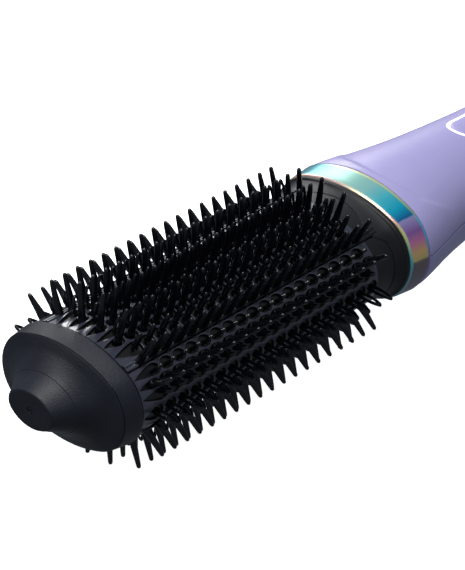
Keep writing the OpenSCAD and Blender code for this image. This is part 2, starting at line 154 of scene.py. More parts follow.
class Build:
    """Points and faces of one piece, in millimetres."""

    def __init__(self):
        self.points, self.faces, self.kinds = [], [], []

    def ring(self, points):
        start = len(self.points)
        self.points += points
        return list(range(start, len(self.points)))

    def face(self, corners, kind=0):
        self.faces.append(tuple(corners))
        self.kinds.append(kind)

    def bridge(self, a, b, kind=0, closed=True):
        n = len(a)
        for i in range(n if closed else n - 1):
            j = (i + 1) % n
            self.face((a[i], a[j], b[j], b[i]), kind)

    def fan(self, ring, point, kind=0):
        tip = self.ring([point])[0]
        for i in range(len(ring)):
            self.face((ring[i], ring[(i + 1) % len(ring)], tip), kind)

    def tube(self, rings, kind=0):
        """Closed skin over rings of points, with its ends closed."""
        made = [self.ring(r) for r in rings]
        for a, b in zip(made, made[1:]):
            self.bridge(a, b, kind)
        self.face(made[0], kind)
        self.face(made[-1], kind)

    def object(self, name):
        """Object in metres, its close points joined and its faces turned outwards."""
        mesh = bpy.data.meshes.new(name)
        mesh.from_pydata([tuple(c * MM for c in p) for p in self.points], [], self.faces)
        for poly, kind in zip(mesh.polygons, self.kinds):
            poly.material_index = kind
        bm = bmesh.new()
        bm.from_mesh(mesh)
        bmesh.ops.remove_doubles(bm, verts=bm.verts, dist=MERGE * MM)
        bmesh.ops.recalc_face_normals(bm, faces=bm.faces)
        bm.to_mesh(mesh)
        bm.free()
        obj = bpy.data.objects.new(name, mesh)
        bpy.context.scene.collection.objects.link(obj)
        return obj

    def piece(self, name, materials, body, slot, nodes, angle=SHARP):
        """Finished piece; its edges sharper than angle degrees stay sharp."""
        obj = self.object(name)
        for material in materials:
            obj.data.materials.append(material)
        soften(obj.data, angle)
        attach(obj, body)
        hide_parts(*nodes)
        return obj


def angles_round(step):
    return [i * step for i in range(round(360 / step))]


def loft(build, sections, step):
    """Skin through oval sections, with a point at every step of the normal angle."""
    angles = angles_round(step)
    made = [build.ring([section_point(s, t) for t in angles]) for s in sections]
    for a, b in zip(made, made[1:]):
        build.bridge(a, b)
    return made


# ---- Materials ----

class Shader:
    """Node tree of one material, with short calls for the nodes that it needs."""

    def __init__(self, name):
        self.material = bpy.data.materials.new(name)
        self.material.use_nodes = True
        self.tree = self.material.node_tree
        self.surface = self.tree.nodes["Principled BSDF"]
        self.place = self.node("ShaderNodeTexCoord").outputs["Object"]

    def node(self, kind, **values):
        node = self.tree.nodes.new(kind)
        for key, value in values.items():
            setattr(node, key, value)
        return node

    def link(self, a, b):
        self.tree.links.new(a, b)

    def set(self, **values):
        for key, value in values.items():
            self.surface.inputs[key.replace("_", " ")].default_value = value

    def noise(self, scale, detail=3.0, stretch=None):
        node = self.node("ShaderNodeTexNoise")
        node.inputs["Scale"].default_value = scale
        node.inputs["Detail"].default_value = detail
        self.link(self.stretched(stretch) if stretch else self.place, node.inputs["Vector"])
        return node.outputs["Fac"]

    def stretched(self, scale):
        node = self.node("ShaderNodeMapping")
        node.inputs["Scale"].default_value = scale
        self.link(self.place, node.inputs["Vector"])
        return node.outputs["Vector"]

    def ramp(self, value, stops):
        node = self.node("ShaderNodeValToRGB")
        ramp = node.color_ramp
        while len(ramp.elements) < len(stops):
            ramp.elements.new(0.5)
        for element, (at, colour) in zip(ramp.elements, stops):
            element.position = at
            element.color = colour if len(colour) == 4 else (*colour, 1)
        self.link(value, node.inputs["Fac"])
        return node.outputs["Color"]

    def spread(self, value, low, high):
        node = self.node("ShaderNodeMapRange")
        node.inputs["To Min"].default_value = low
        node.inputs["To Max"].default_value = high
        self.link(value, node.inputs["Value"])
        return node.outputs["Result"]

    def math(self, kind, a, b=None, c=None):
        node = self.node("ShaderNodeMath", operation=kind)
        for socket, value in zip(node.inputs, (a, b, c)):
            if value is None:
                continue
            if isinstance(value, (int, float)):
                socket.default_value = value
            else:
                self.link(value, socket)
        return node.outputs["Value"]

    def mix(self, amount, a, b):
        node = self.node("ShaderNodeMix", data_type="RGBA")
        for socket, value in zip((node.inputs[0], node.inputs[6], node.inputs[7]), (amount, a, b)):
            if isinstance(value, tuple):
                socket.default_value = value if len(value) == 4 else (*value, 1)
            elif isinstance(value, (int, float)):
                socket.default_value = value
            else:
                self.link(value, socket)
        return node.outputs[2]

    def bump(self, height, strength, distance):
        node = self.node("ShaderNodeBump")
        node.inputs["Strength"].default_value = strength
        node.inputs["Distance"].default_value = distance * MM
        self.link(height, node.inputs["Height"])
        self.link(node.outputs["Normal"], self.surface.inputs["Normal"])

    def colour(self, output):
        self.link(output, self.surface.inputs["Base Color"])

    def rough(self, output):
        self.link(output, self.surface.inputs["Roughness"])


def moulded(name, dark, light, rough, grain=4500, depth=0.02, strength=0.25, **values):
    """Moulded plastic: cloudy colour, fine grain and worn, uneven gloss."""
    s = Shader(name)
    cloud = s.noise(90, 4)
    fine = s.noise(grain, 2)
    s.colour(s.ramp(s.math("MULTIPLY_ADD", fine, 0.25, s.math("MULTIPLY", cloud, 0.75)),
                    [(0.3, dark), (0.7, light)]))
    s.rough(s.spread(s.noise(160, 5), *rough))
    s.bump(fine, strength, depth)
    s.set(**values)
    return s.material


def metal(name, dark, light, rough):
    """Drawn or turned metal with fine lines along X."""
    s = Shader(name)
    lines = s.noise(400, 4, (1, 30, 30))
    s.colour(s.ramp(lines, [(0.25, dark), (0.75, light)]))
    s.rough(s.spread(s.noise(120, 4), *rough))
    s.bump(lines, 0.2, 0.02)
    s.set(Metallic=1.0)
    return s.material


def banded(name, dark, light, rough, scale, metallic=0.0):
    """Wound or woven surface: fine regular bands with noise in them."""
    s = Shader(name)
    wave = s.node("ShaderNodeTexWave", bands_direction="X")
    wave.inputs["Scale"].default_value = scale
    wave.inputs["Distortion"].default_value = 0.6
    s.link(s.place, wave.inputs["Vector"])
    s.colour(s.ramp(wave.outputs["Fac"], [(0.1, dark), (0.8, light)]))
    s.rough(s.spread(s.noise(300, 4), *rough))
    s.bump(wave.outputs["Fac"], 0.6, 0.08)
    s.set(Metallic=metallic)
    return s.material


def speckled(name, dark, light, rough, scale, metallic=0.0):
    """Flaky or printed surface: cells of two shades with thin borders."""
    s = Shader(name)
    cells = s.node("ShaderNodeTexVoronoi")
    cells.inputs["Scale"].default_value = scale
    s.link(s.place, cells.inputs["Vector"])
    s.colour(s.ramp(cells.outputs["Distance"], [(0.1, light), (0.65, dark)]))
    s.rough(s.spread(s.noise(500, 4), *rough))
    s.bump(cells.outputs["Distance"], 0.3, 0.03)
    s.set(Metallic=metallic)
    return s.material


def wall_angle(s):
    """0 at the left side, 0.25 at the top, 0.5 at the right side, 0.75 at the bottom."""
    parts = s.node("ShaderNodeSeparateXYZ")
    s.link(s.place, parts.inputs["Vector"])
    turn = s.math("ARCTAN2", s.math("MULTIPLY", parts.outputs["Z"], 1.45), parts.outputs["Y"])
    turn = s.math("DIVIDE", turn, 2 * math.pi)
    return parts.outputs["X"], s.math("FRACT", s.math("ADD", turn, 1.0))


# Colours of the trim ring: place round it from wall_angle, and colour. They are partly the
# plating's own tint and partly painted reflection of the studio; the sharp step near 0.372 is a
# painted reflected edge.
RING_TINT_AND_REFLECTION = [
    (0.0, (0.42, 0.37, 0.30)), (0.02, (0.70, 0.55, 0.25)), (0.07, (0.55, 0.25, 0.42)),
    (0.125, (0.05, 0.28, 0.34)), (0.17, (0.12, 0.42, 0.46)), (0.215, (0.30, 0.58, 0.48)),
    (0.265, (0.28, 0.62, 0.60)), (0.31, (0.07, 0.54, 0.64)), (0.345, (0.0, 0.42, 0.62)),
    (0.372, (0.0, 0.13, 0.36)), (0.3745, (0.34, 0.33, 0.62)), (0.405, (0.28, 0.13, 0.42)),
    (0.43, (0.68, 0.24, 0.46)), (0.452, (0.80, 0.50, 0.22)), (0.474, (0.74, 0.60, 0.24)),
    (0.478, (0.21, 0.17, 0.16)), (0.56, (0.16, 0.13, 0.20))]
# Colours of the thin bands at the ring's front and rear edges: painted highlights on its bevels
RING_FRONT_EDGE_HIGHLIGHT = [
    (0.0, (0.7, 0.5, 0.2)), (0.2, (0.75, 0.5, 0.5)), (0.28, (0.9, 0.85, 0.5)),
    (0.36, (0.75, 0.4, 0.35)), (0.4, (0.7, 0.8, 0.3)), (0.47, (0.1, 0.6, 0.7)),
    (0.5, (0.2, 0.5, 0.55))]
RING_REAR_EDGE_HIGHLIGHT = [
    (0.0, (0.3, 0.2, 0.4)), (0.15, (0.25, 0.4, 0.3)), (0.25, (0.85, 0.88, 0.35)),
    (0.36, (0.35, 0.5, 0.2)), (0.385, (0.05, 0.6, 0.8)), (0.44, (0.03, 0.5, 0.75)),
    (0.48, (0.3, 0.15, 0.5))]
WHITE, BLACK = (1, 1, 1), (0, 0, 0)


def ring_tint_and_reflection():
    """Coated metal whose colour changes round the ring, partly its own tint and partly painted
    reflection, with painted highlights on its edges.
    """
    s = Shader("iridescent_coating_painted_reflection")
    x, turn = wall_angle(s)
    drift = s.math("MULTIPLY_ADD", s.noise(55, 2), 0.03, s.math("ADD", turn, -0.015))
    # Colour round the ring: the plating's tint with painted reflection in it
    face = s.ramp(drift, RING_TINT_AND_REFLECTION)
    along = s.math("DIVIDE", s.math("SUBTRACT", x, RING_X0 * MM), (RING_X1 - RING_X0) * MM)
    # Masks of the front and rear edge bands that carry the painted highlights
    front_highlight_mask = s.ramp(along, [(0.0, WHITE), (0.07, WHITE), (0.12, BLACK)])
    rear_highlight_mask = s.ramp(along, [(0.84, BLACK), (0.93, WHITE)])
    s.colour(s.mix(rear_highlight_mask, s.mix(front_highlight_mask, face, s.ramp(turn, RING_FRONT_EDGE_HIGHLIGHT)),
                   s.ramp(turn, RING_REAR_EDGE_HIGHLIGHT)))
    s.rough(s.spread(s.noise(400, 4), 0.27, 0.37))
    s.bump(s.noise(2500, 2), 0.05, 0.01)
    s.set(Metallic=0.5, Coat_Weight=0.15, Coat_Roughness=0.15)
    return s.material


def glowing(name):
    s = Shader(name)
    s.colour(s.ramp(s.noise(200, 2), [(0.3, (0.82, 0.85, 0.9)), (0.7, (0.95, 0.96, 1.0))]))
    s.rough(s.spread(s.noise(700, 3), 0.25, 0.4))
    s.bump(s.noise(3000, 2), 0.05, 0.01)
    s.set(Emission_Color=(0.95, 0.97, 1.0, 1), Emission_Strength=0.75,
          Subsurface_Weight=0.2, Subsurface_Scale=0.002)
    return s.material


MAT = {
    "cap_plastic": moulded("cap_plastic", (0.006, 0.0075, 0.013), (0.015, 0.018, 0.029),
                           (0.4, 0.54), grain=1500, depth=0.09, strength=1.0,
                           Specular_IOR_Level=0.35),
    "panel_plastic": moulded("panel_plastic", (0.026, 0.029, 0.044), (0.040, 0.045, 0.066),
                             (0.24, 0.36), grain=5200, depth=0.014, strength=0.2,
                             Coat_Weight=0.6, Coat_Roughness=0.12),
    "bristle_plastic": moulded("bristle_plastic", (0.0014, 0.0016, 0.0028),
                               (0.0036, 0.004, 0.0068), (0.13, 0.2), grain=3000,
                               depth=0.006, strength=0.06),
    "collar_plastic": moulded("collar_plastic", (0.004, 0.0045, 0.0065), (0.008, 0.0088, 0.012),
                              (0.42, 0.54), grain=4500, depth=0.015, strength=0.2,
                              Specular_IOR_Level=0.35),
    "handle_plastic": moulded("handle_plastic", (0.385, 0.355, 0.655), (0.41, 0.38, 0.68),
                              (0.34, 0.42), grain=5200, depth=0.008, strength=0.1,
                              Coat_Weight=0.15, Coat_Roughness=0.3),
    "trim_metal": ring_tint_and_reflection(),
    "light_diffuser": glowing("light_diffuser"),
    "dark_plastic": moulded("dark_plastic", (0.012, 0.012, 0.014), (0.024, 0.024, 0.027),
                            (0.4, 0.6)),
    "core_metal": metal("core_metal", (0.32, 0.33, 0.36), (0.5, 0.5, 0.53), (0.25, 0.45)),
    "mica": speckled("mica", (0.35, 0.27, 0.14), (0.62, 0.52, 0.33), (0.25, 0.5), 350),
    "heater_wire": banded("heater_wire", (0.2, 0.17, 0.15), (0.5, 0.45, 0.4), (0.3, 0.5),
                          900, 1.0),
    "ceramic": speckled("ceramic", (0.66, 0.62, 0.55), (0.8, 0.77, 0.7), (0.4, 0.6), 900),
    "screw_steel": metal("screw_steel", (0.4, 0.4, 0.42), (0.62, 0.62, 0.65), (0.2, 0.4)),
    "circuit_board": speckled("circuit_board", (0.008, 0.09, 0.03), (0.03, 0.2, 0.07),
                              (0.3, 0.5), 260),
    "switch_plastic": moulded("switch_plastic", (0.02, 0.02, 0.02), (0.05, 0.05, 0.05),
                              (0.3, 0.5)),
    "capacitor_sleeve": banded("capacitor_sleeve", (0.01, 0.02, 0.08), (0.03, 0.06, 0.18),
                               (0.2, 0.4), 40),
    "motor_steel": metal("motor_steel", (0.25, 0.25, 0.27), (0.45, 0.45, 0.48), (0.25, 0.5)),
    "copper_winding": banded("copper_winding", (0.35, 0.12, 0.04), (0.75, 0.3, 0.12),
                             (0.2, 0.4), 500, 1.0),
    "fan_plastic": moulded("fan_plastic", (0.018, 0.018, 0.02), (0.035, 0.035, 0.04),
                           (0.3, 0.5)),
    "mount_rubber": moulded("mount_rubber", (0.012, 0.012, 0.012), (0.03, 0.03, 0.03),
                            (0.65, 0.85), grain=2500, depth=0.05, strength=0.5),
    "filter_steel": banded("filter_steel", (0.1, 0.1, 0.11), (0.6, 0.6, 0.62), (0.3, 0.5),
                           700, 1.0),
}
# Pocket floors and walls between the bristles, near-black: painted shade of the deep holes round
# the bristles
POCKET_SHADE = moulded("pocket_painted_shade", (0.002, 0.0022, 0.003), (0.005, 0.005, 0.007), (0.3, 0.45))


def paint_cad_nodes():
    """Every CAD node that stays in view gets the procedural material of its slot."""
    slots = {p["node"]: p["material_slot"] for p in frame["record"]["subparts"]}
    for name, obj in frame["nodes"].items():
        for held in obj.material_slots:
            held.material = MAT[slots[name]]


# ---- Tip cap ----

def make_tip_cap():
    """Cap with its gate mark, cone, dish, rim and skirt; sections go from the middle out."""
    b = Build()
    gate = [(0.4, 0.04, 0.04, 1), (0.4, 0.34, 0.34, 1), (0.05, 0.44, 0.44, 1),
            (0, 0.5, 0.5, 1), (0, 0.86, 0.86, 1), (0.22, 0.95, 0.95, 1),
            (0.22, 1.12, 1.12, 1), (0, 1.22, 1.22, 1), (0, 1.3, 1.28, 1)]
    flat = [(0, 3, 2.6, 0.9), (0, 6, 4.3, 0.8), (0, 8.6, 5.75, 0.75), (0, 9.3, 6.15, 0.74)]
    turn = [(0.04, 9.6, 6.4, 0.74), (0.14, 9.86, 6.66, 0.74), (0.3, 10.04, 6.84, 0.74)]
    cone = refine([(0.5, 10.2, 6.95, 0.74), (2.2, 11.15, 7.7, 0.75), (4, 12.25, 8.55, 0.76),
                   (6, 13.5, 9.5, 0.77), (7.5, 14.55, 10.3, 0.78)], 4)
    dish = refine([(7.62, 14.78, 10.5, 0.78), (9.3, 16.2, 11.45, 0.79),
                   (11.4, 18.7, 12.95, 0.8), (13.3, 22, 14.85, 0.82),
                   (14.5, 25.2, 16.6, 0.83), (15.2, 27.2, 17.65, 0.84)], 7)
    rim = [(15.4, 27.7, 17.95, 0.84), (15.55, 27.88, 18.08, 0.84), (15.62, 27.86, 18.06, 0.84),
           (15.7, 27.62, 17.84, 0.84), (15.84, 27.62, 17.84, 0.84), (15.92, 27.98, 18.18, 0.84),
           (16.05, 28.1, 18.28, 0.84)]
    skirt = refine([(16.5, 28.16, 18.34, 0.84), (19, 28.5, 18.7, 0.842),
                    (21.5, 28.82, 19.02, 0.844), (23.3, 29.02, 19.22, 0.845)], 3)
    back = [(23.62, 28.98, 19.18, 0.845), (23.82, 28.8, 19, 0.845), (23.9, 28.5, 18.7, 0.845),
            (23.9, 27.2, 17.4, 0.825), (19, 27.2, 17.4, 0.825), (17, 25, 16, 0.82),
            (14.5, 18.5, 12.6, 0.8), (10.5, 12.6, 8.8, 0.78), (3.5, 8.6, 5.6, 0.74)]
    made = loft(b, gate + flat + turn + cone + dish + rim + skirt + back, step=2.5)
    b.face(made[0])
    b.face(made[-1])
    b.piece("tip_cap_shell", [MAT["cap_plastic"]], "brush", "cap_plastic", ["tip_cap"], angle=24)


# ---- Barrel skin with a pointed pocket round each bristle ----

SKIN_DEPTH = 1.26
# Material numbers of a panel skin; the second is near-black, painted shade in the pockets and on
# the skin's inner face
SKIN, PAINTED_SHADE, BLADE, PLAIN_END = range(4)
# Scale of a pocket's outline, its depth, and the material of the band that leads to it; the two
# deepest bands are in the near-black painted shade
POCKET_BANDS = [(1.07, 0.0, SKIN), (1.02, 0.04, SKIN), (1.0, 0.14, SKIN),
                (0.97, 0.5, PAINTED_SHADE), (0.92, 1.1, PAINTED_SHADE)]
# Reach of a pocket before, after and beside its bristle, as parts of its cell, and the
# powers that shape its outline before and after: 1 is a diamond, 2 an ellipse
POCKET = (0.94, 0.94, 0.9), (2.0, 2.0)
FIRST_POCKET = (0.96, 0.94, 0.88), (1.2, 2.0)
CELL_STEPS = 8
X_GRID = SPIKE_X0 - PITCH / 2
CELL = PITCH / CELL_STEPS
# Degrees of a panel under the corner rails
MARGIN_FLAT, MARGIN_SIDE = 1.9, 2.75


def skin_point(x, t, depth):
    y, z = oval_point(BARREL, t, -depth)
    return x, y, z


def span(a, b, n):
    return [a + (b - a) * i / n for i in range(n + 1)]


def cell_edge(xs, ts):
    """Points round a cell, once, from its first corner."""
    return ([(x, ts[0]) for x in xs[:-1]] + [(xs[-1], t) for t in ts[:-1]]
            + [(x, ts[-1]) for x in xs[:0:-1]] + [(xs[0], t) for t in ts[:0:-1]])


def pocket_outline(loop, xs, ts, xc, tc, reach, powers):
    """Part of the way from the centre to each edge point at which the pocket ends."""
    out = []
    for x, t in loop:
        ux = (x - xc) / ((xs[-1] if x > xc else xs[0]) - xc) if x != xc else 0.0
        ut = abs((t - tc) / ((ts[-1] if t > tc else ts[0]) - tc)) if t != tc else 0.0
        side = 0 if x < xc else 1
        p = powers[side]
        out.append(((abs(ux) / reach[side]) ** p + (ut / reach[2]) ** p) ** (-1 / p))
    return out


def pocket_cell(b, xs, ts, xc, tc, reach, powers):
    """Cell of skin with a pocket round xc, tc."""
    loop = cell_edge(xs, ts)
    outline = pocket_outline(loop, xs, ts, xc, tc, reach, powers)

    def ring(scales, depth):
        return b.ring([skin_point(xc + (x - xc) * k, tc + (t - tc) * k, depth)
                       for (x, t), k in zip(loop, scales)])
    last = b.ring([skin_point(x, t, 0) for x, t in loop])
    between = ring([(1 + f * 1.08) / 2 for f in outline], 0)
    b.bridge(last, between, SKIN)
    last = between
    for scale, depth, kind in POCKET_BANDS:
        band = ring([f * scale for f in outline], depth)
        b.bridge(last, band, kind)
        last = band
    # Near-black floor of the pocket: painted shade
    b.fan(last, skin_point(xc, tc, depth), PAINTED_SHADE)


def plain_cell(b, xs, ts, kind=SKIN):
    made = [b.ring([skin_point(x, t, 0) for x in xs]) for t in ts]
    for p, q in zip(made, made[1:]):
        b.bridge(p, q, kind, closed=False)


def close_skin(b, xs, ts):
    """Inner face and edges of a skin whose outer face has those grid lines; the inner face takes
    the near-black painted shade.
    """
    inner = [b.ring([skin_point(x, t, SKIN_DEPTH) for x in xs]) for t in ts]
    for p, q in zip(inner, inner[1:]):
        b.bridge(p, q, PAINTED_SHADE, closed=False)
    for k in (0, -1):
        outer = b.ring([skin_point(x, ts[k], 0) for x in xs])
        b.bridge(outer, inner[k], SKIN, closed=False)
        end = b.ring([skin_point(xs[k], t, 0) for t in ts])
        b.bridge(end, [row[k] for row in inner], SKIN, closed=False)


def pocket_row(b, head, ts, t, is_blade):
    """Row of pockets along the barrel; the first one's cell runs on to the skin's end."""
    lead = CELL_STEPS // 2 if is_blade else 0
    count = SPIKES - 1 if is_blade else SPIKES
    for i in range(count):
        start = CELL * lead + PITCH * i
        xs = [X_GRID + start + CELL * k for k in range(CELL_STEPS + 1)]
        if i == 0:
            xs = head[:-1] + [X_GRID + CELL * k for k in range(lead)] + xs
        pocket_cell(b, xs, ts, X_GRID + start + PITCH / 2, t, *(POCKET if i else FIRST_POCKET))
    if is_blade:
        last = X_GRID + CELL * lead + PITCH * count
        plain_cell(b, [last + CELL * k for k in range(CELL_STEPS // 2 + 1)], ts)


def make_panel(middle, half, rows):
    """Skin between two corner rails; rows are (offset, is a blade row) from the middle."""
    b = Build()
    edge = half - (MARGIN_FLAT if half < 45 else MARGIN_SIDE)
    bounds = [-edge] + [(p[0] + q[0]) / 2 for p, q in zip(rows, rows[1:])] + [edge]
    head = span(PANEL_X0, X_GRID, 4)
    tail = span(X_GRID + PITCH * SPIKES, PANEL_X1, 6)
    all_ts = []
    for (offset, is_blade), low, high in zip(rows, bounds, bounds[1:]):
        ts = [middle + low + (offset - low) * i / 2 for i in range(2)]
        ts += [middle + offset + (high - offset) * i / 2 for i in range(3)]
        all_ts += ts if not all_ts else ts[1:]
        pocket_row(b, head, ts, middle + offset, is_blade)
        plain_cell(b, tail, ts, PLAIN_END)
    grid = [X_GRID + CELL * k for k in range(CELL_STEPS * SPIKES + 1)]
    close_skin(b, head[:-1] + grid + tail[1:], all_ts)
    return b


# The first blades on the top and bottom are lower by this part, over this many pitches
FIRST_DROP, DROP_ROWS = 0.3, 2.5


def length_at(t):
    """Spike length at any normal angle, between the rows."""
    return 9.6 + 4.7 * abs(math.sin(math.radians(t))) ** 1.3


def spike_profile(length):
    """Heights up a spike, with its half width along the barrel and round it."""
    return [(-1.12, 2.2, 1.6), (-0.6, 2.0, 1.54), (-0.1, 1.84, 1.48), (0.5, 1.7, 1.42),
            (1.6, 1.54, 1.34), (length * 0.4, 1.28, 1.18), (length * 0.7, 1.04, 1.0),
            (length - 1.3, 0.88, 0.88), (length - 0.7, 0.8, 0.8),
            (length - 0.34, 0.62, 0.62), (length - 0.08, 0.32, 0.32)]


RIDGES, RIDGE_HEIGHT = 4, 0.06


def add_spike(b, x, t, length, sides=16):
    """One spike: flared foot in its pocket, soft ridges, round tip."""
    rings = []
    for h, rx, rs in spike_profile(length):
        ring = []
        for k in range(sides):
            a = 2 * math.pi * k / sides
            ridge = 1 + RIDGE_HEIGHT * math.cos(RIDGES * a)
            ring.append(on_barrel(x + rx * ridge * math.cos(a), t, h, rs * ridge * math.sin(a)))
        rings.append(b.ring(ring))
    b.face(rings[0])
    for p, q in zip(rings, rings[1:]):
        b.bridge(p, q)
    b.fan(rings[-1], on_barrel(x, t, length))


# Half width of a looped blade, and half width and half thickness of its wire
SHORT_LOOP = 1.3, 0.36, 0.6
LONG_LOOP = 1.35, 0.4, 0.66
# Thicker foot of the wire: where it ends, over what height, and how much it adds
FOOT_TOP, FOOT_FADE, FOOT_FLAT, FOOT_DEEP = 1.2, 2.2, 0.2, 0.3


def blade_path(height, wide):
    """Places and heights along the leaf-shaped loop, from foot to foot."""
    side = [(-1.12, 0.62), (-0.4, 0.7), (0.4, 0.8), (height * 0.2, 0.95), (height * 0.36, 1),
            (height * 0.54, 0.93), (height * 0.7, 0.72), (height * 0.83, 0.44),
            (height - 0.8, 0.2), (height - 0.5, 0.0)]
    up = [(-wide * w, h) for h, w in side]
    return up + [(-w, h) for w, h in up[-2::-1]]


def add_blade(b, x, t, height, loop, sides=8):
    """One looped blade: a flattened wire bent into a pointed arch."""
    wide, wire, thick = loop
    path = blade_path(height, wide)
    rings = []
    for i, (w, h) in enumerate(path):
        before, after = path[max(i - 1, 0)], path[min(i + 1, len(path) - 1)]
        dx, dh = after[0] - before[0], after[1] - before[1]
        n = math.hypot(dx, dh)
        nx, nh = dh / n, -dx / n
        foot = smooth((FOOT_TOP - h) / FOOT_FADE)
        flat, deep = wire + FOOT_FLAT * foot, thick + FOOT_DEEP * foot
        ring = []
        for k in range(sides):
            a = 2 * math.pi * (k + 0.5) / sides
            ring.append(on_barrel(x + w + nx * flat * math.cos(a), t,
                                  h + nh * flat * math.cos(a), deep * math.sin(a)))
        rings.append(ring)
    b.tube(rings)


def blade_height(t, i, flat):
    """Height of blade i in the row at t; the first few of a flat side's rows are lower."""
    if flat:
        return TOP_BLADE_RATIO * length_at(t) * (1 - FIRST_DROP * (1 - smooth(i / DROP_ROWS)))
    return SIDE_BLADE_RATIO * length_at(t)


def make_barrel():
    """Four panel skins with their looped blades."""
    materials = [MAT["panel_plastic"], POCKET_SHADE, MAT["bristle_plastic"], MAT["collar_plastic"]]
    for name, middle in (("top", 90), ("left", 180), ("bottom", 270), ("right", 0)):
        flat = name in ("top", "bottom")
        blades = TOP_BLADES if flat else SIDE_BLADES
        beside = 90 - ROW_ANGLE[1] if flat else ROW_ANGLE[3]
        rows = sorted([(d, True) for d in blades] + [(d, False) for d in (-beside, 0, beside)])
        b = make_panel(middle, 90 - CORNER if flat else CORNER, rows)
        skin = len(b.faces)
        for d in blades:
            for i in range(SPIKES - 1):
                add_blade(b, SPIKE_X0 + PITCH * (i + 0.5), middle + d,
                          blade_height(middle + d, i, flat), SHORT_LOOP)
        b.kinds[skin:] = [BLADE] * (len(b.faces) - skin)
        b.piece(f"panel_skin_{name}", materials, "brush", "panel_plastic",
                [f"bristle_panel_{name}"], angle=40)


# Section of a corner rail: sideways place and height over the barrel
RAIL = [(-1.4, -0.9), (-1.4, 0.12), (-1.28, 0.36), (-1.1, 0.48), (-0.5, 0.48), (-0.32, 0.38),
        (-0.24, 0.05), (0.24, 0.05), (0.32, 0.38), (0.5, 0.48), (1.1, 0.48), (1.28, 0.36),
        (1.4, 0.12), (1.4, -0.9)]
BAR = [(-1.3, -1.2), (-1.3, -1.34), (1.3, -1.34), (1.3, -1.2)]


STRIP_INSET, RAIL_INSET = 2, 0.2
SLATE_END = SPIKE_X0 - 1.6  # a corner rail is slate up to here


def same_sine(t, other):
    return abs(abs(math.sin(math.radians(t))) - math.sin(math.radians(other))) < 0.01


def add_bar(b, t, outline, x0, x1, steps, kind=0):
    """Bar of that section along the barrel."""
    b.tube([[on_barrel(x, t, h, s) for s, h in outline] for x in span(x0, x1, steps)],
           kind=kind)


def add_strip(b, t):
    """Bar under a row of bristles, or a corner row's rail."""
    if same_sine(t, CORNER):
        add_bar(b, t, RAIL, PANEL_X0 + RAIL_INSET, SLATE_END, 3, kind=1)
        add_bar(b, t, RAIL, SLATE_END, PANEL_X1 - RAIL_INSET, 32)
    else:
        add_bar(b, t, BAR, PANEL_X0 + STRIP_INSET, PANEL_X1 - STRIP_INSET, 32)


def make_spike_rows():
    for number, (t, length) in enumerate(ROWS, 1):
        b = Build()
        add_strip(b, t)
        for i in range(SPIKES):
            x = SPIKE_X0 + PITCH * i
            if same_sine(t, 0):
                add_blade(b, x, t, length, LONG_LOOP)
            else:
                add_spike(b, x, t, length)
        b.piece(f"spike_row_{number:02d}", [MAT["bristle_plastic"], MAT["panel_plastic"]],
                "brush", "bristle_plastic", [f"spike_strip_{number:02d}"], angle=34)


# ---- Collar and trim ring ----

def corner_lobe(t):
    """1 at a corner row's angle, falling to 0 beside it."""
    return max(math.exp(-((abs(math.remainder(t - c, 360)) / 13) ** 2))
               for c in (CORNER, 180 - CORNER, -CORNER, CORNER - 180))


def make_collar():
    """Flared collar with a lobe that reaches over the end of each corner rail."""
    b = Build()
    angles = angles_round(2.0)

    def ring(x, a, bb, k, lobe):
        return b.ring([section_point((x - lobe * corner_lobe(t), a, bb, k), t) for t in angles])
    outer = [(159.7, 28.44, 18.64, 0.84, 4.5), (159.8, 28.62, 18.82, 0.84, 4.4),
             (160.3, 28.78, 18.95, 0.842, 3.6), (161.6, 29.2, 19.15, 0.85, 1.8),
             (162.9, 29.85, 19.5, 0.865, 0.5), (163.5, 30.25, 19.75, 0.872, 0),
             (163.72, 30.7, 20.0, 0.88, 0), (164.0, 30.98, 20.16, 0.882, 0),
             (164.5, 31.18, 20.28, 0.885, 0), (165.2, 31.2, 20.3, 0.885, 0),
             (165.5, 31.05, 20.15, 0.885, 0), (165.5, 27.1, 17.3, 0.825, 0),
             (159.7, 27.1, 17.3, 0.825, 0)]
    made = [ring(*o) for o in outer]
    for p, q in zip(made, made[1:] + made[:1]):
        b.bridge(p, q)
    b.piece("collar", [MAT["collar_plastic"]], "brush", "collar_plastic", ["collar_flange"],
            angle=30)


# Swellings of the trim ring that peak in a sharp line: angle, reach in degrees and size
CREASES = [(46, 24, 1), (134, 24, 1), (-46, 24, 1), (-134, 24, 1), (172, 16, 0.7),
           (8, 16, 0.7)]
CREASE_HEIGHT = 0.32


def crease(t):
    """Size of the swelling at t, from 0 between the creases to 1."""
    return max(0.0, *(size * (1 - abs(math.remainder(t - peak, 360)) / reach)
                      for peak, reach, size in CREASES))


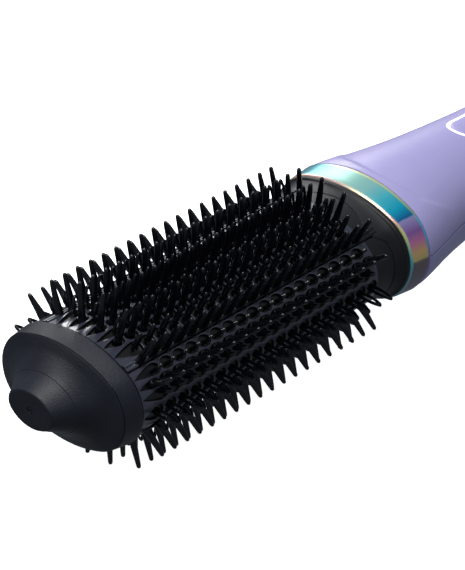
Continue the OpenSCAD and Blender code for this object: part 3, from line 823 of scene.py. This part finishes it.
def make_trim_ring():
    """Creased ring; each row is x, half width, half depth and share of the creases."""
    b = Build()
    angles = sorted(set(angles_round(2.0) + [45.999, 134.001]))  # sharp creases on top
    outline = [(RING_X0, 30.7, 19.9, 0), (RING_X0 + 0.12, 31.1, 20.25, 0.3),
               (RING_X0 + 0.5, 31.4, 20.55, 0.7), (RING_X0 + 0.9, 31.46, 20.68, 1),
               (168.2, 31.62, 20.98, 1), (170.9, 31.8, 21.35, 1), (173.4, 31.98, 21.72, 1),
               (175.1, 32.12, 22.0, 1), (RING_X1 - 0.5, 32.15, 22.05, 0.7),
               (RING_X1 - 0.15, 31.98, 21.9, 0.3), (RING_X1, 31.7, 21.6, 0),
               (RING_X1, 27.1, 17.3, -1), (RING_X0, 27.1, 17.3, -1)]
    rings = []
    for x, a, bb, lift in outline:
        k = 0.825 if lift < 0 else 0.885
        ring = []
        for t in angles:
            grow = CREASE_HEIGHT * crease(t) * max(lift, 0)
            ring.append(section_point((x, a + grow, bb + grow, k), t))
        rings.append(b.ring(ring))
    for p, q in zip(rings, rings[1:] + rings[:1]):
        b.bridge(p, q)
    b.piece("iridescent_ring_painted_reflection", [MAT["trim_metal"]], "brush", "trim_metal", ["trim_ring"],
            angle=22)


# ---- Handle ----

def scoop(x, t):
    """How far the handle's surface lies below its plain form, behind the soft crease."""
    off = abs(math.remainder(t - 90, 360))
    line = 179.2 + 20 * (off / 62) ** 1.6
    fade = 1 - smooth((off - 30) / 34)
    return 0.55 * smooth((x - line + 0.7) / 2.2) * fade * (1 - smooth((x - 190) / 50))


def handle_xs():
    xs = [HANDLE_X0, HANDLE_X0 + 0.15, HANDLE_X0 + 0.45]
    x = HANDLE_X0 + 1
    while x < HANDLE_X1 - 2:
        xs.append(x)
        x += 0.8 if x < 215 else 2.2
    return xs + [HANDLE_X1 - 1.2, HANDLE_X1 - 0.4, HANDLE_X1 - 0.1, HANDLE_X1]


def shell(t0, t1):
    """Closed half shell between two normal angles, its edges eased at the parting line."""
    b = Build()
    n = round((t1 - t0) / 2)
    angles = [t0, t0 + 0.35, t0 + 0.8] + span(t0, t1, n)[1:-1] + [t1 - 0.8, t1 - 0.35, t1]
    ease = {angles[0]: 0.3, angles[1]: 0.08, angles[-1]: 0.3, angles[-2]: 0.08}
    rings = []
    for x in handle_xs():
        end = 0.35 if x in (HANDLE_X0, HANDLE_X1) else 0.1 if min(
            x - HANDLE_X0, HANDLE_X1 - x) < 0.2 else 0.0
        s = handle_section(x)
        outer = [section_point(s, t, scoop(x, t) + ease.get(t, 0) + end) for t in angles]
        inner = [section_point(s, t, WALL) for t in reversed(angles)]
        rings.append(b.ring(outer + inner))
    for p, q in zip(rings, rings[1:]):
        b.bridge(p, q)
    m = len(angles)
    for ring in (rings[0], rings[-1]):
        for j in range(m - 1):
            b.face((ring[j], ring[j + 1], ring[2 * m - 2 - j], ring[2 * m - 1 - j]))
    return b


CUTTER_Z = (10, 40)
BUTTON_GAP = 0.35


def pill_outline(length, width, n=20):
    r = width / 2
    points = []
    for k in range(n + 1):
        a = -math.pi / 2 + math.pi * k / n
        points.append(((length / 2 - r) + r * math.cos(a), r * math.sin(a)))
    for k in range(n + 1):
        a = math.pi / 2 + math.pi * k / n
        points.append((-(length / 2 - r) + r * math.cos(a), r * math.sin(a)))
    return points


def disc_outline(r, n=48):
    return [(r * math.cos(2 * math.pi * k / n), r * math.sin(2 * math.pi * k / n))
            for k in range(n)]


def cut(obj, outline, x0):
    """Cuts an upright hole of that outline through the top of a handle shell."""
    b = Build()
    b.tube([[(x0 + x, y, z) for x, y in outline] for z in CUTTER_Z])
    cutter = b.object("cutter")
    change = obj.modifiers.new("hole", "BOOLEAN")
    change.object = cutter
    change.operation = "DIFFERENCE"
    change.solver = "EXACT"
    graph = bpy.context.evaluated_depsgraph_get()
    made = bpy.data.meshes.new_from_object(obj.evaluated_get(graph), depsgraph=graph)
    obj.modifiers.clear()
    old = obj.data
    obj.data = made
    made.name = old.name
    bpy.data.meshes.remove(old)
    bpy.data.objects.remove(cutter)
    soften(made, SHARP)


def make_handle():
    top = shell(SEAM + 0.2, 180 - SEAM - 0.2).piece(
        "handle_shell_top", [MAT["handle_plastic"]], "brush", "handle_plastic", ["handle_top"])
    cut(top, pill_outline(PILL_L, PILL_W), POWER_X)
    cut(top, disc_outline(MODE_R + BUTTON_GAP), MODE_X)
    shell(180 - SEAM + 0.2, 360 + SEAM - 0.2).piece(
        "handle_shell_bottom", [MAT["handle_plastic"]], "brush", "handle_plastic",
        ["handle_bottom"])


def top_z(x, y):
    """Height of the handle's form over a point near its top line."""
    _, a, b, k = handle_section(x)
    r = k * b
    big = ((a - r) ** 2 + b ** 2 - r ** 2) / (2 * (b - r))
    return b - big + math.sqrt(big * big - y * y)


def domed(b, outlines, x0, grow_at, base):
    """Button skin: outlines from the base edge to the middle, each at its own growth."""
    rings = [b.ring([(x0 + x, y, base) for x, y in outlines[0]])]
    for outline, grow in zip(outlines, grow_at):
        rings.append(b.ring([(x0 + x, y, top_z(x0 + x, y) + grow) for x, y in outline]))
    for p, q in zip(rings, rings[1:]):
        b.bridge(p, q)
    b.face(rings[0])
    b.fan(rings[-1], (x0, 0, top_z(x0, 0) + grow_at[-1]))


def stem(b, x0, r, z0, z1, n=24):
    circle = disc_outline(r, n)
    b.tube([[(x0 + x, y, z) for x, y in circle] for z in (z0, z1)])


# Buttons: cut back from the outline by this much, and height over the handle's form there
POWER_DOME = [(0, -0.45), (0, -0.2), (0.15, -0.02), (0.5, 0.1), (1.2, 0.17), (3, 0.2),
              (6, 0.2), (9, 0.2)]
MODE_DOME = [(0, -0.4), (0, -0.1), (0.12, 0.06), (0.4, 0.16), (1, 0.14), (2.4, 0.0),
             (4, -0.05)]
# Light ring: part of the way across it, and height; None is its flat underside
LENS = [(0, None), (0, -0.35), (0.08, -0.12), (0.25, -0.02), (0.6, 0.0), (0.88, -0.06),
        (1, -0.25), (1, None)]
LENS_BASE = 18.0
# How much smaller than the hole: the light ring outside and inside, and the power button
LENS_GAP, LENS_WIDTH, BUTTON_INSET = 0.3, 3, 3.7


def make_power_button():
    b = Build()
    length, width = PILL_L - BUTTON_INSET, PILL_W - BUTTON_INSET
    outlines = [pill_outline(length - d, width - d) for d, _ in POWER_DOME]
    domed(b, outlines, POWER_X, [g for _, g in POWER_DOME], 18.6)
    stem(b, POWER_X, 2, STEM_Z, 18.9)
    b.piece("power_button_cap", [MAT["handle_plastic"]], "power_button", "handle_plastic",
            ["power_button"])


def make_mode_button():
    b = Build()
    outlines = [disc_outline(MODE_R - d) for d, _ in MODE_DOME]
    domed(b, outlines, MODE_X, [g for _, g in MODE_DOME], 18.5)
    stem(b, MODE_X, 1.8, STEM_Z, 18.7)
    b.piece("mode_button_cap", [MAT["handle_plastic"]], "mode_button", "handle_plastic",
            ["mode_button"])


def make_light_ring():
    b = Build()
    outer = pill_outline(PILL_L - LENS_GAP, PILL_W - LENS_GAP)
    inner = pill_outline(PILL_L - LENS_WIDTH, PILL_W - LENS_WIDTH)
    rings = []
    for part, grow in LENS:
        ring = []
        for (xo, yo), (xi, yi) in zip(outer, inner):
            x, y = POWER_X + xo + (xi - xo) * part, yo + (yi - yo) * part
            ring.append((x, y, LENS_BASE if grow is None else top_z(x, y) + grow))
        rings.append(b.ring(ring))
    for p, q in zip(rings, rings[1:] + rings[:1]):
        b.bridge(p, q)
    b.piece("light_ring_lens", [MAT["light_diffuser"]], "brush", "light_diffuser",
            ["light_ring"])


# ---- Gland ----

def make_gland():
    """Turning gland with soft rings on its neck and a bore for the cord."""
    b = Build()
    profile = [(370.1, 7.0), (370.4, 7.35), (371, 7.4), (375.2, 7.4), (375.7, 7.2),
               (375.9, 6.9), (375.9, 6.0), (380, 5.95)]
    for k in range(4):
        x = 382.4 + k * 3.2
        profile += [(x, 5.9), (x + 0.35, 5.45), (x + 1.25, 5.45), (x + 1.6, 5.9)]
    profile += [(396.6, 5.9), (397.4, 5.6), (397.9, 5.1), (398, 4.6), (398, 3.75),
                (397.8, 3.6), (378.2, 3.6), (378, 3.4), (378, 0.6)]
    rings = [b.ring([(x, y, z) for y, z in disc_outline(r, 56)]) for x, r in profile]
    for p, q in zip(rings, rings[1:]):
        b.bridge(p, q)
    b.face(rings[0])
    b.face(rings[-1])
    b.piece("turning_gland", [MAT["dark_plastic"]], "cord_swivel", "dark_plastic",
            ["swivel_gland"])


# ---- Studio ----

def make_floor():
    s = Shader("studio_floor")
    s.colour(s.ramp(s.noise(6, 2), [(0.3, (0.93, 0.93, 0.935)), (0.7, (0.95, 0.95, 0.955))]))
    s.set(Roughness=0.9, Specular_IOR_Level=0.1, Emission_Color=(1, 1, 1, 1),
          Emission_Strength=1.0)
    size, z = 6.0, -33.2 * MM
    mesh = bpy.data.meshes.new("floor")
    mesh.from_pydata([(-size, -size, z), (size, -size, z), (size, size, z), (-size, size, z)],
                     [], [(0, 1, 2, 3)])
    mesh.materials.append(s.material)
    floor = bpy.data.objects.new("floor", mesh)
    bpy.context.scene.collection.objects.link(floor)
    floor.visible_diffuse = False
    floor.visible_glossy = False
    floor.visible_shadow = False


# Name, direction, distance, size, power and what it is aimed at, in metres and watts
LIGHTS = (("back_softbox", (0.638, 0.686, 0.342), 0.9, (0.34, 0.3), 2.2, (0.03, 0, 0.018)),
          ("overhead", (-0.1, 0.1, 1), 1.2, (0.7, 0.7), 12, (0.1, 0, 0)),
          ("camera_left", (-0.75, 0.6, 0.9), 1.2, (0.16, 0.16), 2.2, (0.1, 0, 0)))


def make_studio():
    world = bpy.data.worlds.new("studio")
    world.use_nodes = True
    background = world.node_tree.nodes["Background"]
    background.inputs["Color"].default_value = (0.8, 0.88, 1.0, 1)
    background.inputs["Strength"].default_value = 0.2
    bpy.context.scene.world = world
    for name, direction, distance, size, power, target in LIGHTS:
        light = bpy.data.lights.new(name, "AREA")
        light.shape = "RECTANGLE"
        light.size, light.size_y = size
        light.energy = power
        lamp = bpy.data.objects.new(name, light)
        d = Vector(direction).normalized()
        lamp.location = Vector(target) + d * distance
        lamp.rotation_euler = d.to_track_quat("Z", "Y").to_euler()
        bpy.context.scene.collection.objects.link(lamp)


def make_camera():
    right = Vector((0.646977, -0.754693, 0.108897))
    up = Vector((0.355692, 0.425030, 0.832366))
    back = Vector((-0.674465, -0.499788, 0.543423))
    data = bpy.data.cameras.new("camera")
    data.sensor_width = 36
    data.lens = 183.04
    data.clip_start = 0.05
    data.clip_end = 50
    camera = bpy.data.objects.new("camera", data)
    turn = Matrix((right, up, back)).transposed().to_4x4()
    camera.matrix_world = Matrix.Translation((-0.58368, -0.50801, 0.55831)) @ turn
    bpy.context.scene.collection.objects.link(camera)
    bpy.context.scene.camera = camera


make_camera()
make_studio()
make_floor()
paint_cad_nodes()
make_tip_cap()
make_barrel()
make_spike_rows()
make_collar()
make_trim_ring()
make_handle()
make_power_button()
make_mode_button()
make_light_ring()
make_gland()
bpy.context.scene.view_settings.view_transform = "Standard"
